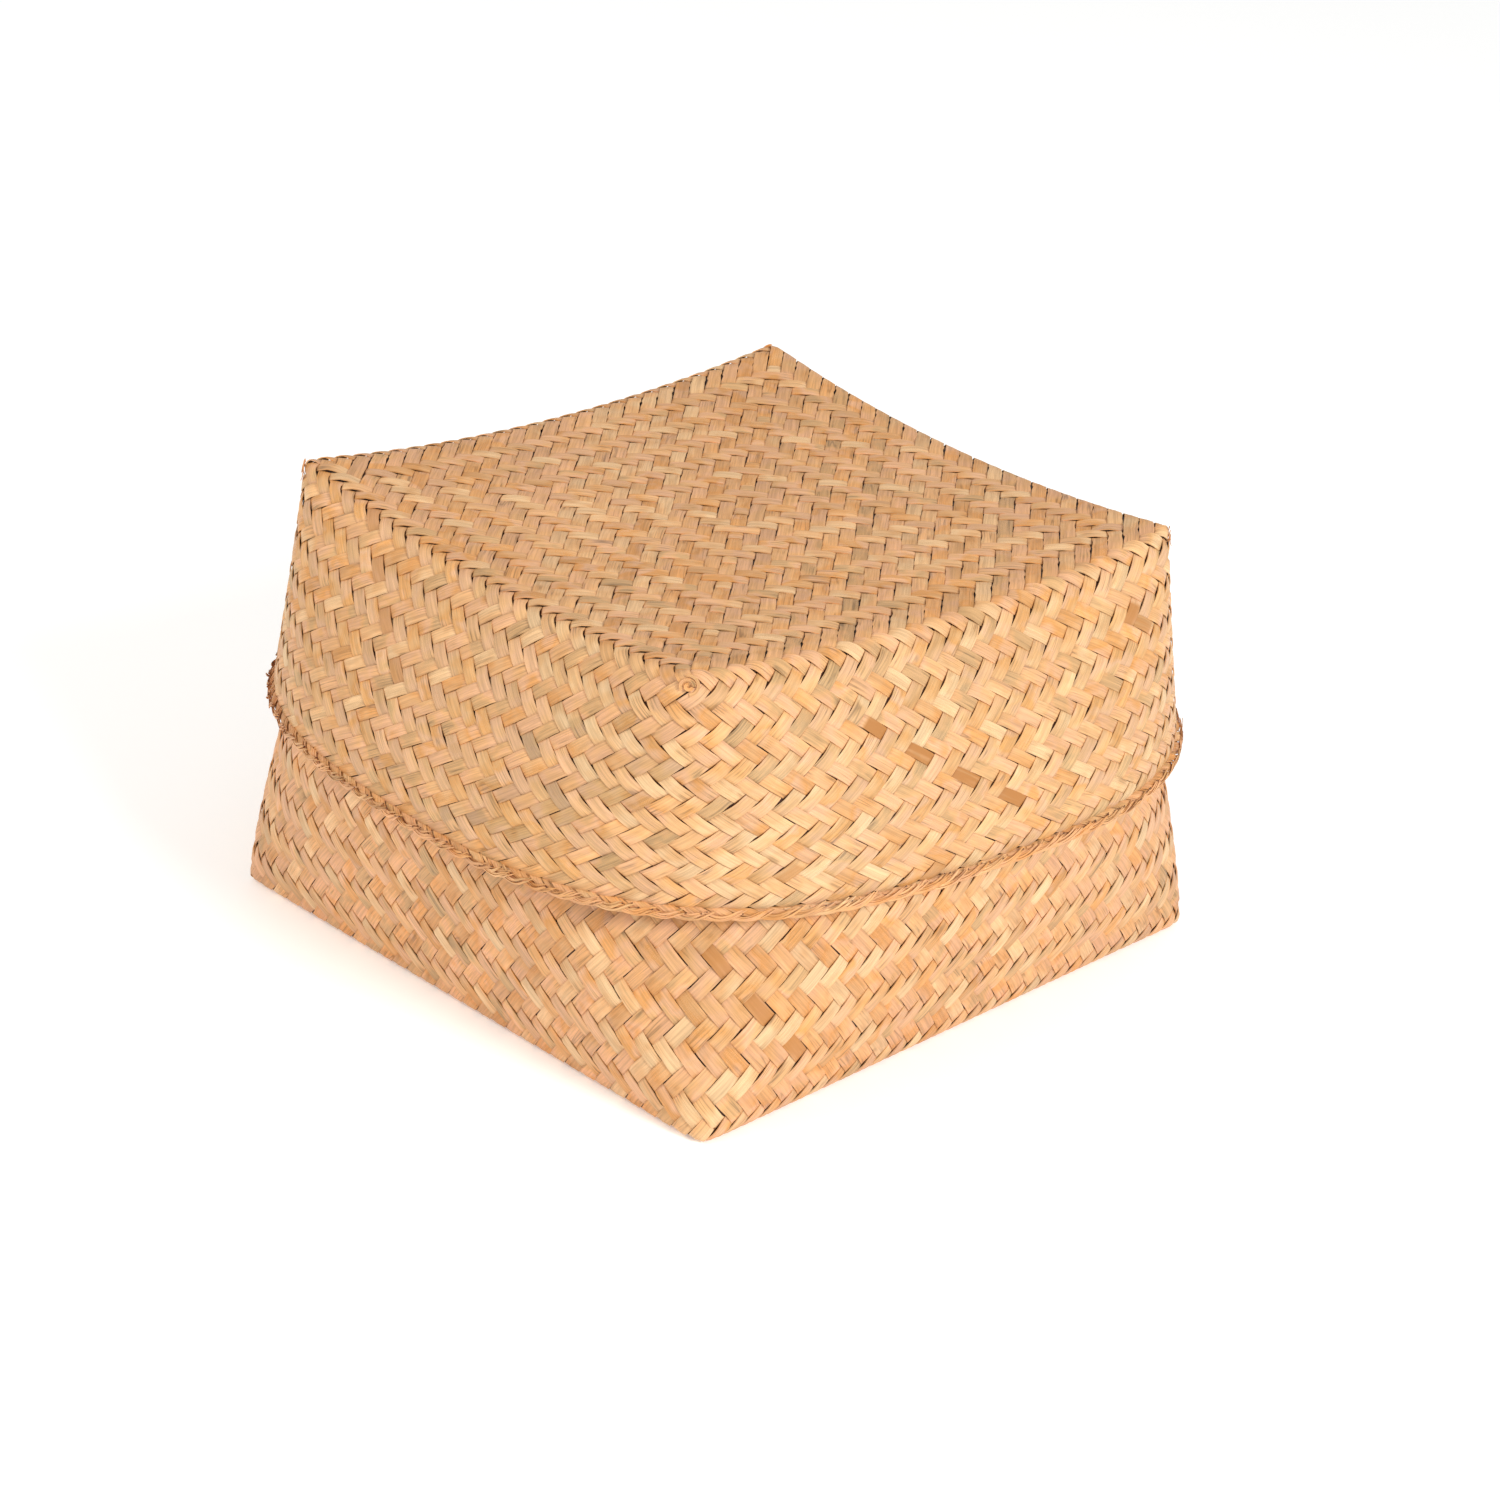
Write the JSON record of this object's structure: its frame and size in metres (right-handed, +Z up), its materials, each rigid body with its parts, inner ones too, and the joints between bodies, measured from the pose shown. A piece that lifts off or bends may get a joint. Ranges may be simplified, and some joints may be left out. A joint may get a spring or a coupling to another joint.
{
  "type": "lidded bamboo basket",
  "caption": "Square-footed plaited bamboo basket with a rounded mouth and a deep lid that drops over it, for carrying and storing dry goods.",
  "frame": {"origin": "on the ground, under the middle of the base", "axes": "+Z up; X and Y run square to the sides of the base's foot"},
  "size_m": [0.3446, 0.3446, 0.1854],
  "materials": {
    "outer_bamboo": "plaited split bamboo, natural, satin",
    "lining_bamboo": "plaited split bamboo, natural, matt",
    "cane": "round cane, natural",
    "border_bamboo": "folded split bamboo, natural, fibrous"
  },
  "bodies": {
    "base": {"base_outer_weave": "outer_bamboo", "base_lining": "lining_bamboo", "base_hoop": "cane", "base_border": "border_bamboo"},
    "lid": {"lid_outer_weave": "outer_bamboo", "lid_lining": "lining_bamboo", "lid_hoop": "cane", "lid_border": "border_bamboo"}
  },
  "joints": [
    {"name": "lid_lift", "type": "slide", "parent": "base", "child": "lid", "axis": [0, 0, 1], "range_m": [0, 0.12]}
  ]
}
